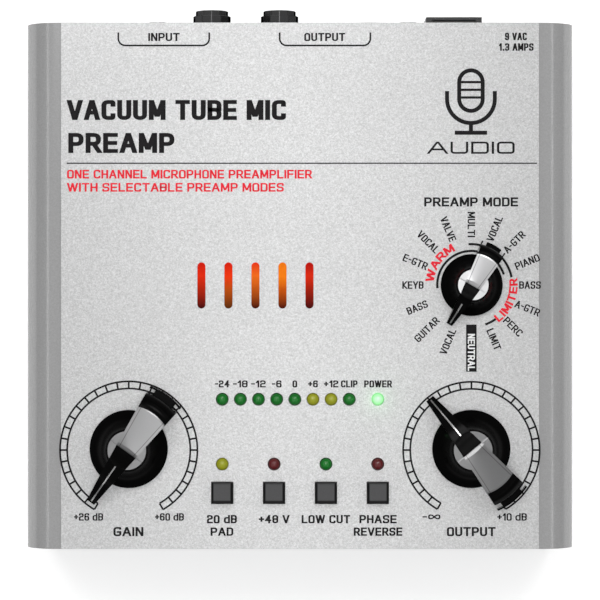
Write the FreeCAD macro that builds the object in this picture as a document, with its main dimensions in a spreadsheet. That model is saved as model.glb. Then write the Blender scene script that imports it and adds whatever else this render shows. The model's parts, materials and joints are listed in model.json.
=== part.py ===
"""Desktop tube microphone preamplifier, as a parametric FreeCAD document. Millimetres.

X runs to the right, Y to the rear and Z up. The origin lies on the table, under the middle of the whole
outline. Pieces are drawn about the middle of the case, and each finished sub-part is then moved forward by
half of what the jack nuts stand out behind.
"""
import FreeCAD, Part
import math
import os
import re
import Sketcher
from FreeCAD import Placement, Rotation, Vector

SIZES = [
    # case
    ("case_width", 136), ("case_depth", 130), ("case_height", 45), ("sheet_gauge", 1.2), ("shoulder", 8.3),
    ("panel_gauge", 0.25), ("panel_width", 118), ("lip_width", 9), ("lip_height", 1.3), ("fold_gap", 0.1),
    ("foot_height", 3), ("foot_radius", 6), ("foot_x", 56), ("foot_y", 54),
    ("cover_screw_x", 62), ("cover_screw_y", 40), ("cover_screw_radius", 1.5), ("cover_screw_head", 2.8),
    # boards
    ("board_gauge", 1.6), ("standoff_height", 3), ("standoff_radius", 2.5), ("standoff_x", 52),
    ("standoff_y", 51), ("board_half_width", 60), ("main_board_depth", 118), ("header_width", 24),
    ("header_depth", 6), ("header_height", 7), ("ribbon_y", -24),
    # controls on the panel
    ("dial_x", 42.2), ("dial_y", -40.2), ("mode_x", 42.3), ("mode_y", 0.2),
    ("gain_angle", 144.4), ("output_angle", 39.6), ("mode_angle", 150.2),
    ("shaft_radius", 3), ("shaft_flat", 2.3), ("running_gap", 0.05),
    ("bushing_radius", 3.5), ("bushing_reach", 2.6), ("pot_radius", 8.3), ("pot_height", 7),
    ("nut_across", 5.2), ("nut_height", 2),
    ("button_pitch", 12.8), ("button_y", -51.1), ("button_width", 5.2), ("button_face", 4.1),
    ("button_reach", 2.6), ("button_bevel", 0.6), ("button_hole", 5.5), ("switch_side", 7.5),
    ("lamp_radius", 1.5), ("lamp_reach", 1), ("status_y", -44), ("meter_y", -28), ("meter_x", -19.2),
    ("meter_pitch", 4.48), ("power_lamp_x", 19.2),
    ("window_x", -11), ("window_y", 0.1), ("window_pitch", 6.67), ("window_width", 2),
    ("window_length", 11.4), ("window_plate_gauge", 1.4),
    # large knob
    ("dial_skirt", 9.62), ("dial_disc", 4.7), ("dial_height", 9.4), ("dial_tip", 16.1), ("dial_tail", 16.4),
    ("dial_hub_half", 2.92), ("dial_taper", 0.115), ("dial_cap_end", 11.1), ("dial_tail_height", 5.4),
    ("dial_dome", 3.8), ("dial_lip", 3.6),
    ("dial_slot_start", 14.7), ("dial_slot_end", 16), ("dial_slot_width", 8), ("dial_neck_half", 2.95),
    ("dial_bow", 21.2), ("dial_recess", 6.2), ("dial_line_start", 4.7), ("dial_shaft_reach", 8),
    # small knob
    ("mode_skirt", 7.63), ("mode_disc", 3.72), ("mode_height", 8.3), ("mode_tip", 11.2), ("mode_tail", 11.2),
    ("mode_hub_half", 2.1), ("mode_taper", 0.12), ("mode_cap_end", 7.7), ("mode_tail_height", 5.3),
    ("mode_dome", 2.6), ("mode_lip", 3.4),
    ("mode_slot_start", 10.1), ("mode_slot_end", 11.4), ("mode_slot_width", 1), ("mode_neck_half", 1.95),
    ("mode_bow", 13.2), ("mode_recess", 5.4), ("mode_line_start", 5.4), ("mode_shaft_reach", 6.9),
    # both knobs
    ("knob_gap", 0.8), ("knob_recess_depth", 2.3), ("disc_drop", 0.3), ("cap_dip", 0.4), ("cap_gauge", 0.5),
    ("cap_rim_width", 0.35), ("cap_rim_drop", 0.12), ("cap_front", 0.3), ("facet_width", 1.15),
    ("facet_drop", 0.36),
    ("line_gauge", 0.25), ("line_width", 0.38),
    # rear connectors
    ("connector_drop", 21.5), ("rear_reach", 4.9),
    ("input_xlr_x", -45), ("output_xlr_x", 17.6), ("xlr_collar", 11), ("xlr_reach", 1.1), ("xlr_depth", 22),
    ("xlr_flange_width", 26), ("xlr_flange_height", 31), ("xlr_flange_gauge", 1.6), ("xlr_ring", 9.6),
    ("xlr_core", 7.7), ("xlr_cup", 8.1), ("xlr_cavity", 14), ("xlr_circle", 4), ("xlr_pin", 1.2),
    ("xlr_screw_dx", 9.5), ("xlr_screw_dz", 12), ("xlr_screw_head", 2.5), ("xlr_screw_height", 0.85),
    ("latch_width", 6), ("latch_gauge", 0.8), ("latch_length", 9),
    ("input_jack_x", -22.4), ("output_jack_x", -5.2), ("jack_body", 13), ("jack_depth", 26),
    ("jack_bore", 3.25), ("jack_bushing", 3.7), ("jack_mouth", 4.6), ("jack_bore_depth", 28),
    ("jack_nut_flange", 4.76), ("jack_nut_step", 3.6), ("jack_nut_crown", 4.12), ("jack_nut_bore", 3.75),
    ("power_x", 38.9), ("bezel_width", 14.1), ("bezel_height", 10.5), ("bezel_reach", 3),
    ("rocker_length", 11), ("rocker_height", 7.6), ("rocker_tilt", 8), ("rocker_pin", 0.9),
    ("inlet_x", 54), ("inlet_bore", 3.15), ("inlet_pin", 1.05), ("inlet_depth", 10),
    # vacuum tube, lying along X under the glow windows
    ("tube_radius", 10), ("tube_wall", 0.8), ("tube_length", 51), ("tube_base_x", 14), ("tube_z", 29),
    ("tube_pin_circle", 5.95), ("tube_pin_radius", 0.5),
]

# Heights and faces that several pieces share.
FACE = "(foot_height + case_height)"
ROOF = f"({FACE} - panel_gauge)"
CEILING = f"({ROOF} - sheet_gauge)"
DECK = "(foot_height + sheet_gauge)"
SIDE = "(case_width / 2)"
REAR = "(case_depth / 2)"
WALL_INSIDE = f"({REAR} - sheet_gauge)"
SOCKET_Z = f"({FACE} - connector_drop)"
CONTROL_TOP = f"({CEILING} - pot_height - 0.05)"
MAIN_TOP = f"({DECK} + standoff_height + board_gauge)"
SHIFT_Y = "-rear_reach / 2"
BUTTONS = {"pad": -1.5, "phantom": -0.5, "low_cut": 0.5, "phase": 1.5}
METER_COLOURS = ["green"] * 5 + ["yellow"] * 2 + ["green"]
STATUS_COLOURS = ["yellow", "red", "green", "red"]

doc = FreeCAD.newDocument("preamp")
sheet = doc.addObject("Spreadsheet::Sheet", "Sizes")
for row, (alias, size) in enumerate(SIZES, start=1):
    sheet.set(f"A{row}", alias)
    sheet.set(f"B{row}", str(size))
    sheet.setAlias(f"B{row}", alias)
doc.recompute()

subparts = []


# ---------------------------------------------------------------- helpers

def formula(text):
    """Turn a formula in plain sheet names into one that any object of the document can read."""
    return re.sub(r"[a-z][a-z_]*", lambda name: "Sizes." + name.group(), str(text))


def value(text):
    return float(sheet.evalExpression(formula(text)))


def bind(thing, prop, text):
    thing.setExpression(prop, formula(text))


def put(thing, place):
    for axis, text in zip("xyz", place):
        bind(thing, f"Placement.Base.{axis}", text)
    return thing


def block(name, size, middle, base):
    """Box of the given size, centred at middle (x, y) and standing on the height base."""
    thing = doc.addObject("Part::Box", name)
    for prop, text in zip(("Length", "Width", "Height"), size):
        bind(thing, prop, text)
    return put(thing, (f"({middle[0]}) - ({size[0]}) / 2", f"({middle[1]}) - ({size[1]}) / 2", base))


def turned(thing, axis):
    """Lay a solid of revolution, drawn along Z, along another axis."""
    if axis == "y":
        thing.Placement = Placement(Vector(), Rotation(Vector(1, 0, 0), -90))
    if axis == "x":
        thing.Placement = Placement(Vector(), Rotation(Vector(0, 1, 0), 90))
    return thing


def rod(name, radius, length, start, axis="z"):
    """Cylinder that runs from the point start in the positive direction of axis."""
    thing = turned(doc.addObject("Part::Cylinder", name), axis)
    bind(thing, "Radius", radius)
    bind(thing, "Height", length)
    return put(thing, start)


def prism(name, radius, length, start, sides, axis="z"):
    thing = turned(doc.addObject("Part::Prism", name), axis)
    thing.Polygon = sides
    bind(thing, "Circumradius", radius)
    bind(thing, "Height", length)
    return put(thing, start)


def cone(name, bottom, top, height, start):
    thing = doc.addObject("Part::Cone", name)
    bind(thing, "Radius1", bottom)
    bind(thing, "Radius2", top)
    bind(thing, "Height", height)
    return put(thing, start)


def fused(name, pieces):
    if len(pieces) == 1:
        return pieces[0]
    thing = doc.addObject("Part::MultiFuse", name)
    thing.Shapes = pieces
    return thing


def carved(name, base, tools):
    thing = doc.addObject("Part::Cut", name)
    thing.Base = base
    thing.Tool = fused(f"{name}_tools", tools)
    return thing


def shared(name, first, second):
    """What two solids have in common."""
    thing = doc.addObject("Part::Common", name)
    thing.Base = first
    thing.Tool = second
    return thing


def arc_edge(start, end, radius):
    """Minor arc between two points: counter-clockwise for a positive radius, clockwise for a negative one."""
    chord = end - start
    half = chord.Length / 2
    left = Vector(-chord.y, chord.x, 0).normalize()
    rise = math.sqrt(radius * radius - half * half) * (1 if radius > 0 else -1)
    centre = start + chord / 2 + left * rise
    first, last = (start, end) if radius > 0 else (end, start)
    angles = [math.atan2(point.y - centre.y, point.x - centre.x) for point in (first, last)]
    return Part.ArcOfCircle(Part.Circle(centre, Vector(0, 0, 1), abs(radius)), *angles)


def draw(body, name, plane, outline):
    """Closed sketch on one of the body's own planes. Each point of the outline is (x, y) or (x, y, radius),
    where the radius is that of the arc that leads to the point. Every point is bound to the sheet."""
    sketch = body.newObject("Sketcher::SketchObject", name)
    face = [feature for feature in body.Origin.OriginFeatures if feature.Role == f"{plane}_Plane"][0]
    sketch.AttachmentSupport = (face, [""])
    sketch.MapMode = "FlatFace"
    points = [Vector(value(point[0]), value(point[1]), 0) for point in outline]
    ends = []
    for index, point in enumerate(points):
        start = points[index - 1]
        radius = outline[index][2] if len(outline[index]) == 3 else None
        if radius is None:
            edge = sketch.addGeometry(Part.LineSegment(start, point))
            ends.append((edge, 1, 2))
            continue
        size = value(radius)
        edge = sketch.addGeometry(arc_edge(start, point, size))
        ends.append((edge, 1, 2) if size > 0 else (edge, 2, 1))
        row = sketch.addConstraint(Sketcher.Constraint("Radius", edge, abs(size)))
        bind(sketch, f"Constraints[{row}]", radius if size > 0 else f"-({radius})")
    for index, (edge, _, end) in enumerate(ends):
        after, begin, _ = ends[(index + 1) % len(ends)]
        sketch.addConstraint(Sketcher.Constraint("Coincident", edge, end, after, begin))
        for kind, text in zip(("DistanceX", "DistanceY"), outline[index]):
            row = sketch.addConstraint(Sketcher.Constraint(kind, -1, 1, edge, end, value(text)))
            bind(sketch, f"Constraints[{row}]", text)
    return sketch


def extruded(name, plane, outline, length, symmetric=True):
    body = doc.addObject("PartDesign::Body", name)
    sketch = draw(body, f"{name}_outline", plane, outline)
    pad = body.newObject("PartDesign::Pad", f"{name}_pad")
    pad.Profile = sketch
    pad.SideType = "Symmetric" if symmetric else "One side"
    bind(pad, "Length", length)
    return body


def revolved(name, outline):
    """Solid of revolution about Z from an outline of (radius, height) points."""
    body = doc.addObject("PartDesign::Body", name)
    sketch = draw(body, f"{name}_outline", "XZ", outline)
    turn = body.newObject("PartDesign::Revolution", f"{name}_turn")
    turn.Profile = sketch
    turn.ReferenceAxis = (sketch, ["V_Axis"])
    turn.Angle = 360
    return body


def subpart(node, pieces, place=("0", "0", "0"), turn=None):
    """Finished sub-part: its pieces, moved to their place in the common frame."""
    thing = doc.addObject("Part::Compound", node)
    thing.Links = pieces
    if turn:
        thing.Placement = Placement(Vector(), Rotation(Vector(0, 0, 1), 1))
        bind(thing, "Placement.Rotation.Angle", turn)
    put(thing, (place[0], f"{place[1]} + {SHIFT_Y}", place[2]))
    subparts.append(thing)
    return thing


# ---------------------------------------------------------------- case

def panel_openings():
    """Every hole that goes through both the cover and the control panel."""
    tools = []
    for name, place in knob_places().items():
        tools.append(rod(f"{name}_hole", "bushing_radius + 0.1", 6, (*place, f"{CEILING} - 2")))
    for order in BUTTONS.values():
        size = ("button_hole", "button_hole", 6)
        tools.append(block("button_hole", size, (f"{order} * button_pitch", "button_y"), f"{CEILING} - 2"))
    for _, x, y in lamp_places():
        tools.append(rod("lamp_hole", "lamp_radius + 0.1", 6, (x, y, f"{CEILING} - 2")))
    for x in window_places():
        tools += slot("window_hole", x, "window_width", "window_length", f"{CEILING} - 2", 6)
    return fused("panel_openings", tools)


def slot(name, x, width, length, base, height):
    """Round-ended bar along Y, as a box and its two ends."""
    pieces = [block(name, (width, f"{length} - {width}", height), (x, "window_y"), base)]
    for side in (-1, 1):
        end = f"window_y + {side} * ({length} - {width}) / 2"
        pieces.append(rod(f"{name}_end", f"{width} / 2", height, (x, end, base)))
    return pieces


def knob_places():
    return {"gain": ("-dial_x", "dial_y"), "output": ("dial_x", "dial_y"), "mode": ("mode_x", "mode_y")}


def window_places():
    return [f"window_x + {order} * window_pitch" for order in range(-2, 3)]


def lamp_places():
    """Colour and place of each small lamp: the level meter, the lamps over the buttons, the power lamp."""
    places = []
    for order, colour in enumerate(METER_COLOURS):
        places.append((colour, f"meter_x + {order} * meter_pitch", "meter_y"))
    for colour, order in zip(STATUS_COLOURS, BUTTONS.values()):
        places.append((colour, f"{order} * button_pitch", "status_y"))
    return places + [("power", "power_lamp_x", "meter_y")]


def make_case():
    openings = panel_openings()

    inner_side = f"{SIDE} - sheet_gauge"
    lip_side = f"{inner_side} - lip_width"
    bend = f"{SIDE} - shoulder"
    lip_low = "foot_height + lip_height"
    lip_top = "foot_height + lip_height + sheet_gauge"
    spring = f"{ROOF} - shoulder"
    right = [
        (lip_side, lip_low), (inner_side, lip_low), (inner_side, "foot_height"), (SIDE, "foot_height"),
        (SIDE, spring), (bend, ROOF, "shoulder"),
    ]
    inside = [
        (f"-({bend})", CEILING), (bend, CEILING), (inner_side, spring, "-(shoulder - sheet_gauge)"),
        (inner_side, lip_top), (lip_side, lip_top),
    ]
    left = [
        (f"-({bend})", ROOF), (f"-{SIDE}", spring, "shoulder"), (f"-{SIDE}", "foot_height"),
        (f"-({inner_side})", "foot_height"), (f"-({inner_side})", lip_low), (f"-({lip_side})", lip_low),
        (f"-({lip_side})", lip_top), (f"-({inner_side})", lip_top), (f"-({inner_side})", spring),
    ]
    folded = left + [(*inside[0], "-(shoulder - sheet_gauge)")] + inside[1:] + right
    sheet_metal = extruded("cover_sheet", "XZ", folded, "case_depth")
    lip_cut = ("case_width - 2 * sheet_gauge", "sheet_gauge + fold_gap", "lip_height + sheet_gauge + 0.5")
    tools = [openings]
    for side in (-1, 1):
        middle = ("0", f"{side} * ({REAR} - (sheet_gauge + fold_gap) / 2)")
        tools.append(block("lip_end", lip_cut, middle, "foot_height"))
        for y in ("-cover_screw_y", "cover_screw_y"):
            place = (f"{side} * cover_screw_x", y, "foot_height")
            tools.append(rod("lip_hole", "cover_screw_radius + running_gap", 5, place))
    subpart("top_cover", [carved("cover_pierced", sheet_metal, tools)])

    panel = block("panel_sheet", ("panel_width", "case_depth", "panel_gauge"), ("0", "0"), ROOF)
    subpart("control_overlay", [carved("panel_pierced", panel, [openings])])
    make_chassis()
    make_feet_and_screws()


def make_chassis():
    """Floor, front wall and rear wall. The walls stand on the floor and follow the inside of the cover."""
    half = f"{SIDE} - sheet_gauge - fold_gap"
    top = f"{CEILING} - fold_gap"
    corner = "(shoulder - sheet_gauge - fold_gap)"
    wall = [
        (half, DECK), (half, f"{top} - {corner}"), (f"{half} - {corner}", top, corner),
        (f"-({half} - {corner})", top), (f"-({half})", f"{top} - {corner}", corner), (f"-({half})", DECK),
    ]
    floor = block("floor", (f"2 * ({half})", "case_depth", "sheet_gauge"), ("0", "0"), "foot_height")
    front = put(extruded("front_wall", "XZ", wall, "sheet_gauge"), ("0", f"-{REAR} + sheet_gauge / 2", "0"))
    rear = put(extruded("rear_wall", "XZ", wall, "sheet_gauge"), ("0", f"{REAR} - sheet_gauge / 2", "0"))

    def opening(name, radius, x, z=SOCKET_Z):
        return rod(name, radius, 4, (x, f"{REAR} - 3", z), "y")

    tools = []
    for x in ("input_xlr_x", "output_xlr_x"):
        tools.append(opening("xlr_hole", "xlr_collar + 0.2", x))
        for side in (-1, 1):
            screw = (f"{x} + {side} * xlr_screw_dx", f"{SOCKET_Z} + {side} * xlr_screw_dz")
            tools.append(opening("xlr_screw_hole", 1.6, *screw))
    for x in ("input_jack_x", "output_jack_x"):
        tools.append(opening("jack_hole", "jack_bushing + 0.1", x))
    tools.append(opening("inlet_hole", "inlet_bore + 1", "inlet_x"))
    size = ("bezel_width - 0.7", 4, "bezel_height - 0.9")
    tools.append(block("switch_hole", size, ("power_x", f"{REAR} - 1"), f"{SOCKET_Z} - ({size[2]}) / 2"))
    subpart("chassis_rear", [carved("rear_wall_pierced", rear, tools)])
    subpart("chassis_front", [front])

    head = ("cover_screw_head + 0.05", "cover_screw_radius + 0.05", "sheet_gauge")
    spots = [(f"{side} * cover_screw_x", f"{end} * cover_screw_y") for side in (-1, 1) for end in (-1, 1)]
    sinks = [cone("countersink", *head, (*spot, "foot_height")) for spot in spots]
    subpart("chassis_floor", [carved("floor_pierced", floor, sinks)])


def make_feet_and_screws():
    feet, screws = [], []
    for side in (-1, 1):
        for end in (-1, 1):
            foot = (f"{side} * foot_x", f"{end} * foot_y", "0")
            feet.append(cone("foot", "foot_radius - 0.6", "foot_radius", "foot_height", foot))
            spot = (f"{side} * cover_screw_x", f"{end} * cover_screw_y", "foot_height")
            head = cone("screw_head", "cover_screw_head", "cover_screw_radius", "sheet_gauge", spot)
            shank = rod("screw_shank", "cover_screw_radius", 5, spot)
            cross = block("screw_cross", (3, 0.6, 0.7), spot[:2], "foot_height - 0.01")
            screws.append(carved("cover_screw", fused("screw_blank", [head, shank]), [cross]))
    subpart("rubber_feet", feet)
    subpart("cover_screws", screws)


# ---------------------------------------------------------------- boards

def make_boards():
    board_base = f"{DECK} + standoff_height"
    spots = [(f"{side} * standoff_x", f"{end} * standoff_y") for side in (-1, 1) for end in (-1, 1)]
    size = ("2 * board_half_width", "main_board_depth", "board_gauge")
    board = block("main_sheet", size, ("0", "0"), board_base)
    holes = [rod("board_hole", 1.6, 4, (*spot, f"{board_base} - 1")) for spot in spots]
    subpart("main_board", [carved("main_drilled", board, holes)])

    standoffs, screws = [], []
    for spot in spots:
        spacer = prism("spacer", "standoff_radius", "standoff_height", (*spot, DECK), 6)
        standoffs.append(carved("standoff", spacer, [rod("spacer_bore", 1.5, 4, (*spot, DECK))]))
        head = rod("board_screw_head", 2.75, 2, (*spot, MAIN_TOP))
        shank = rod("board_screw_shank", 1.5, "standoff_height + board_gauge - 0.5", (*spot, f"{DECK} + 0.5"))
        cross = block("board_screw_cross", (3, 0.7, 1), spot, f"{MAIN_TOP} + 1.2")
        screws.append(carved("board_screw", fused("board_screw_blank", [head, shank]), [cross]))
    subpart("board_standoffs", standoffs)
    subpart("board_screws", screws)

    # The control board is an L: a wide strip under the knobs and buttons, with an arm to the mode switch.
    base = f"{CONTROL_TOP} - board_gauge"
    strip = block("control_strip", ("2 * board_half_width", 44, "board_gauge"), ("0", -40), base)
    arm = block("control_arm", (30, 34, "board_gauge"), ("board_half_width - 15", -2), base)
    subpart("control_board", [fused("control_blank", [strip, arm])])

    size = ("header_width", "header_depth", "header_height")
    low = block("lower_header", size, ("0", "ribbon_y"), MAIN_TOP)
    high = block("upper_header", size, ("0", "ribbon_y"), f"{base} - header_height")
    subpart("ribbon_headers", [low, high])
    size = ("header_width - 2", 1, f"{base} - {MAIN_TOP} - 2 * header_height")
    subpart("ribbon_cable", [block("ribbon", size, ("0", "ribbon_y"), f"{MAIN_TOP} + header_height")])

    large, medium, small = (6.3, 18), (5, 14), (4, 11)
    cans = []
    for x, y, (radius, height) in ((-45, -42, medium), (-31, -42, medium), (-45, -24, small),
                                   (-32, -24, small), (20, -46, large), (36, -46, large)):
        cans.append(rod("capacitor", radius, height, (x, y, MAIN_TOP)))
    subpart("capacitors", cans)

    plate = block("sink_plate", (28, 3, 18), (44, -14.5), MAIN_TOP)
    fins = [block("sink_fin", (1.2, 10, 18), (31 + 5.2 * order, -8), MAIN_TOP) for order in range(6)]
    subpart("regulator_heat_sink", [fused("heat_sink", [plate] + fins)])


# ---------------------------------------------------------------- vacuum tube

def make_tube():
    inner_radius = "tube_radius - tube_wall"
    dome_start = "tube_length - tube_radius"
    glass = [
        (inner_radius, "0"), ("tube_radius", "0"), ("tube_radius", dome_start),
        ("0", "tube_length", "tube_radius"), ("0", "tube_length - tube_wall"),
        (inner_radius, dome_start, f"-({inner_radius})"),
    ]
    envelope = revolved("tube_glass", glass)
    envelope.Placement = Placement(Vector(), Rotation(Vector(0, 1, 0), -90))
    put(envelope, ("tube_base_x", "window_y", "tube_z"))

    def along(name, radius, length, x, y="window_y", z="tube_z"):
        return rod(name, radius, length, (x, y, z), "x")

    button = along("tube_button", f"{inner_radius} - 0.05", 2.5, "tube_base_x - 2.5")
    subpart("tube_envelope", [envelope, button])
    pins, holes = [], []
    for order in range(9):
        turn = math.radians(54 + 36 * order)
        y = f"window_y + tube_pin_circle * {math.sin(turn):.4f}"
        z = f"tube_z - tube_pin_circle * {math.cos(turn):.4f}"
        pins.append(along("tube_pin", "tube_pin_radius", 6, "tube_base_x", y, z))
        holes.append(along("pin_hole", "tube_pin_radius + 0.05", 6.2, "tube_base_x", y, z))
    subpart("tube_pins", pins)
    disc = along("socket_disc", 11, 8, "tube_base_x + 0.1")
    size = (5, 12, f"tube_z - 8 - {MAIN_TOP}")
    leg = block("socket_leg", size, ("tube_base_x + 4.5", "window_y"), MAIN_TOP)
    subpart("tube_socket", [carved("socket_drilled", fused("socket_blank", [disc, leg]), holes)])

    middle = "tube_base_x - 25"
    anodes = []
    for side in (-1, 1):
        anodes.append(block("anode", (22, 6, 10), (middle, f"window_y + {side} * 3.6"), "tube_z - 5"))
    subpart("tube_anodes", anodes)
    micas = [along("mica", f"{inner_radius} - 0.3", 0.5, f"{middle} + {start}") for start in (-11.5, 11)]
    subpart("tube_mica_spacers", micas)

    lamps = []
    for x in ("window_x - 9", "window_x + 9"):
        body = rod("tube_lamp", 2.5, 6, (x, "window_y", MAIN_TOP))
        dome = doc.addObject("Part::Sphere", "tube_lamp_dome")
        bind(dome, "Radius", 2.5)
        put(dome, (x, "window_y", f"{MAIN_TOP} + 6"))
        lamps.append(fused("tube_lamp_whole", [body, dome]))
    subpart("tube_glow_lamps", lamps)

    # Five translucent bars stand in the slots of the panel, on one moulded plate that lies under the cover.
    base = f"{CEILING} - 1.5"
    size = ("4 * window_pitch + 6", "window_length + 4", "window_plate_gauge")
    bars = [block("window_plate", size, ("window_x", "window_y"), base)]
    for x in window_places():
        width, length = "(window_width - 0.1)", "(window_length - 0.1)"
        bars += slot("window_bar", x, width, length, base, f"{FACE} - ({base}) - 0.1")
    subpart("glow_windows", [fused("window_moulding", bars)])


# ---------------------------------------------------------------- panel parts

def lamp(x, y):
    """Round lamp with a flange, a dome above the panel and two leads to the control board."""
    flange_base = f"{FACE} - 4.3"
    flange = rod("lamp_flange", "lamp_radius + 0.4", 1, (x, y, flange_base))
    body = rod("lamp_body", "lamp_radius", "4.3 + lamp_reach - lamp_radius", (x, y, flange_base))
    dome = doc.addObject("Part::Sphere", "lamp_dome")
    bind(dome, "Radius", "lamp_radius")
    put(dome, (x, y, f"{FACE} + lamp_reach - lamp_radius"))
    leads = []
    for side in (-1, 1):
        size = (0.5, 0.5, f"{flange_base} - {CONTROL_TOP} + 0.5")
        leads.append(block("lamp_lead", size, (f"({x}) + {side} * 1.27", y), CONTROL_TOP))
    return fused("lamp", [flange, body, dome] + leads)


def make_lamps():
    groups = {"green": [], "yellow": [], "red": [], "power": []}
    for colour, x, y in lamp_places():
        groups[colour].append(lamp(x, y))
    for colour, lamps in groups.items():
        subpart("power_lamp" if colour == "power" else f"{colour}_lamps", lamps)


def make_rotary_parts():
    """Potentiometers and mode switch: a body under the cover, and a bushing through it for the shaft."""
    pots, nuts = [], []
    for name, (x, y) in knob_places().items():
        if name == "mode":
            housing = block("mode_housing", (14, 14, "pot_height"), (x, y), CONTROL_TOP)
        else:
            can = rod(f"{name}_can", "pot_radius", "pot_height", (x, y, CONTROL_TOP))
            tag = block(f"{name}_tag", (12, 12, 3), (x, f"{y} + 5"), CONTROL_TOP)
            housing = fused(f"{name}_housing", [can, tag])
        bushing_length = f"{FACE} + bushing_reach - {CONTROL_TOP} - 2"
        bushing = rod(f"{name}_bushing", "bushing_radius", bushing_length, (x, y, f"{CONTROL_TOP} + 2"))
        well = rod(f"{name}_well", "shaft_radius + running_gap", 20, (x, y, f"{CONTROL_TOP} + 1.5"))
        rotary = carved(f"{name}_rotary", fused(f"{name}_rotary_blank", [housing, bushing]), [well])
        if name == "mode":
            subpart("mode_switch", [rotary])
        else:
            pots.append(rotary)
        nut = prism("panel_nut", "nut_across", "nut_height", (x, y, FACE), 6)
        bore = rod("nut_bore", "bushing_radius + 0.02", 4, (x, y, FACE))
        nuts.append(carved("panel_nut_bored", nut, [bore]))
    subpart("potentiometers", pots)
    subpart("panel_nuts", nuts)


def make_buttons():
    bodies = []
    for name, order in BUTTONS.items():
        x = f"{order} * button_pitch"
        size = ("switch_side", "switch_side", 3.7)
        housing = block("push_housing", size, (x, "button_y"), CONTROL_TOP)
        well = block("push_well", (3.2, 3.2, 6), (x, "button_y"), CONTROL_TOP)
        bodies.append(carved("push_switch", housing, [well]))

        size = ("button_width", "button_width", "3 + button_reach - button_bevel")
        skirt = block(f"{name}_skirt", size, (x, "button_y"), f"{FACE} - 3")
        post = block(f"{name}_post", (3, 3, 4), (x, "button_y"), f"{FACE} - 6.7")
        crown = doc.addObject("Part::Wedge", f"{name}_crown")
        crown.Placement = Placement(Vector(), Rotation(Vector(1, 0, 0), 90))
        for axis in "XZ":
            bind(crown, f"{axis}min", "-button_width / 2")
            bind(crown, f"{axis}max", "button_width / 2")
            bind(crown, f"{axis}2min", "-button_face / 2")
            bind(crown, f"{axis}2max", "button_face / 2")
        bind(crown, "Ymin", "0")
        bind(crown, "Ymax", "button_bevel")
        put(crown, (x, "button_y", f"{FACE} + button_reach - button_bevel"))
        subpart(f"{name}_button", [fused(f"{name}_cap", [skirt, post, crown])])
    subpart("push_switch_bodies", bodies)


def make_shaft(kind):
    """Shaft with a flat, drawn about the knob's axis with height 0 on the panel."""
    bottom = "-pot_height - 0.05 - panel_gauge - sheet_gauge + 1.7"
    reach = f"{kind}_shaft_reach"
    shaft = rod(f"{kind}_round", "shaft_radius", f"{reach} - ({bottom})", ("0", "0", bottom))
    chip = block(f"{kind}_chip", (8, 4, 6), ("0", "-shaft_flat - 2"), f"{reach} - 4.5")
    return carved(f"{kind}_shaft_blank", shaft, [chip])


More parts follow.
